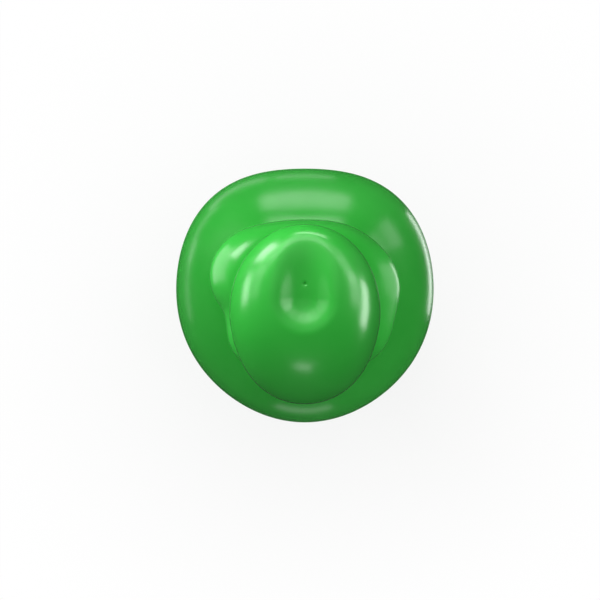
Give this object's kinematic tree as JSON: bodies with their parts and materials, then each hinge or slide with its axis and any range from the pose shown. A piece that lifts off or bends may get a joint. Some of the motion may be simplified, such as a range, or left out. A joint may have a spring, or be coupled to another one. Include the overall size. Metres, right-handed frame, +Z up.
{
  "type": "pipette filler bulb",
  "caption": "Rubber pipette filler: a soft squeeze bulb with pinch ball valves on top, below and on a side branch, and a socket that grips the top of a pipette.",
  "frame": {"origin": "centre of the mouth of the pipette socket", "axes": "+Z up along the bulb's axis, from the pipette socket to the air valve; -Y towards the side branch; +X to the right"},
  "size_m": [0.0618, 0.0637, 0.1539],
  "materials": {
    "green_rubber": "smooth moulded, glossy",
    "pad_rubber": "smooth moulded, glossy",
    "valve_glass": "polished"
  },
  "bodies": {
    "filler": {"squeeze_bulb": "green_rubber", "suction_valve_sleeve": "green_rubber", "suction_valve_ball": "valve_glass", "branch_tee": "green_rubber", "empty_valve_sleeve": "green_rubber", "empty_valve_ball": "valve_glass", "empty_nozzle": "green_rubber", "pipette_socket": "green_rubber"},
    "air_valve": {"air_valve_sleeve": "green_rubber", "air_valve_ball": "valve_glass", "air_valve_cap": "green_rubber"},
    "air_pad_left": {"air_pad_left": "pad_rubber"},
    "air_pad_right": {"air_pad_right": "pad_rubber"},
    "suction_pad_left": {"suction_pad_left": "pad_rubber"},
    "suction_pad_right": {"suction_pad_right": "pad_rubber"},
    "empty_pad_left": {"empty_pad_left": "pad_rubber"},
    "empty_pad_right": {"empty_pad_right": "pad_rubber"}
  },
  "joints": [
    {"name": "bulb_squeeze", "type": "slide", "parent": "filler", "child": "air_valve", "axis": [0, 0, -1], "range_m": [0, 0.014], "stiffness_N_per_m": 350, "springref_m": -0.004, "deforming": ["squeeze_bulb"]},
    {"name": "air_pinch_left", "type": "slide", "parent": "air_valve", "child": "air_pad_left", "axis": [1, 0, 0], "range_m": [0, 0.0018], "stiffness_N_per_m": 1500, "springref_m": -0.0003},
    {"name": "air_pinch_right", "type": "slide", "parent": "air_valve", "child": "air_pad_right", "axis": [-1, 0, 0], "range_m": [0, 0.0018], "stiffness_N_per_m": 1500, "springref_m": -0.0003},
    {"name": "suction_pinch_left", "type": "slide", "parent": "filler", "child": "suction_pad_left", "axis": [1, 0, 0], "range_m": [0, 0.0015], "stiffness_N_per_m": 1500, "springref_m": -0.0003},
    {"name": "suction_pinch_right", "type": "slide", "parent": "filler", "child": "suction_pad_right", "axis": [-1, 0, 0], "range_m": [0, 0.0015], "stiffness_N_per_m": 1500, "springref_m": -0.0003},
    {"name": "empty_pinch_left", "type": "slide", "parent": "filler", "child": "empty_pad_left", "axis": [1, 0, 0], "range_m": [0, 0.0015], "stiffness_N_per_m": 1500, "springref_m": -0.0003},
    {"name": "empty_pinch_right", "type": "slide", "parent": "filler", "child": "empty_pad_right", "axis": [-1, 0, 0], "range_m": [0, 0.0015], "stiffness_N_per_m": 1500, "springref_m": -0.0003}
  ],
  "couplings": [
    {"joint": "air_pinch_right", "follows": "air_pinch_left", "ratio": 1},
    {"joint": "suction_pinch_right", "follows": "suction_pinch_left", "ratio": 1},
    {"joint": "empty_pinch_right", "follows": "empty_pinch_left", "ratio": 1}
  ]
}
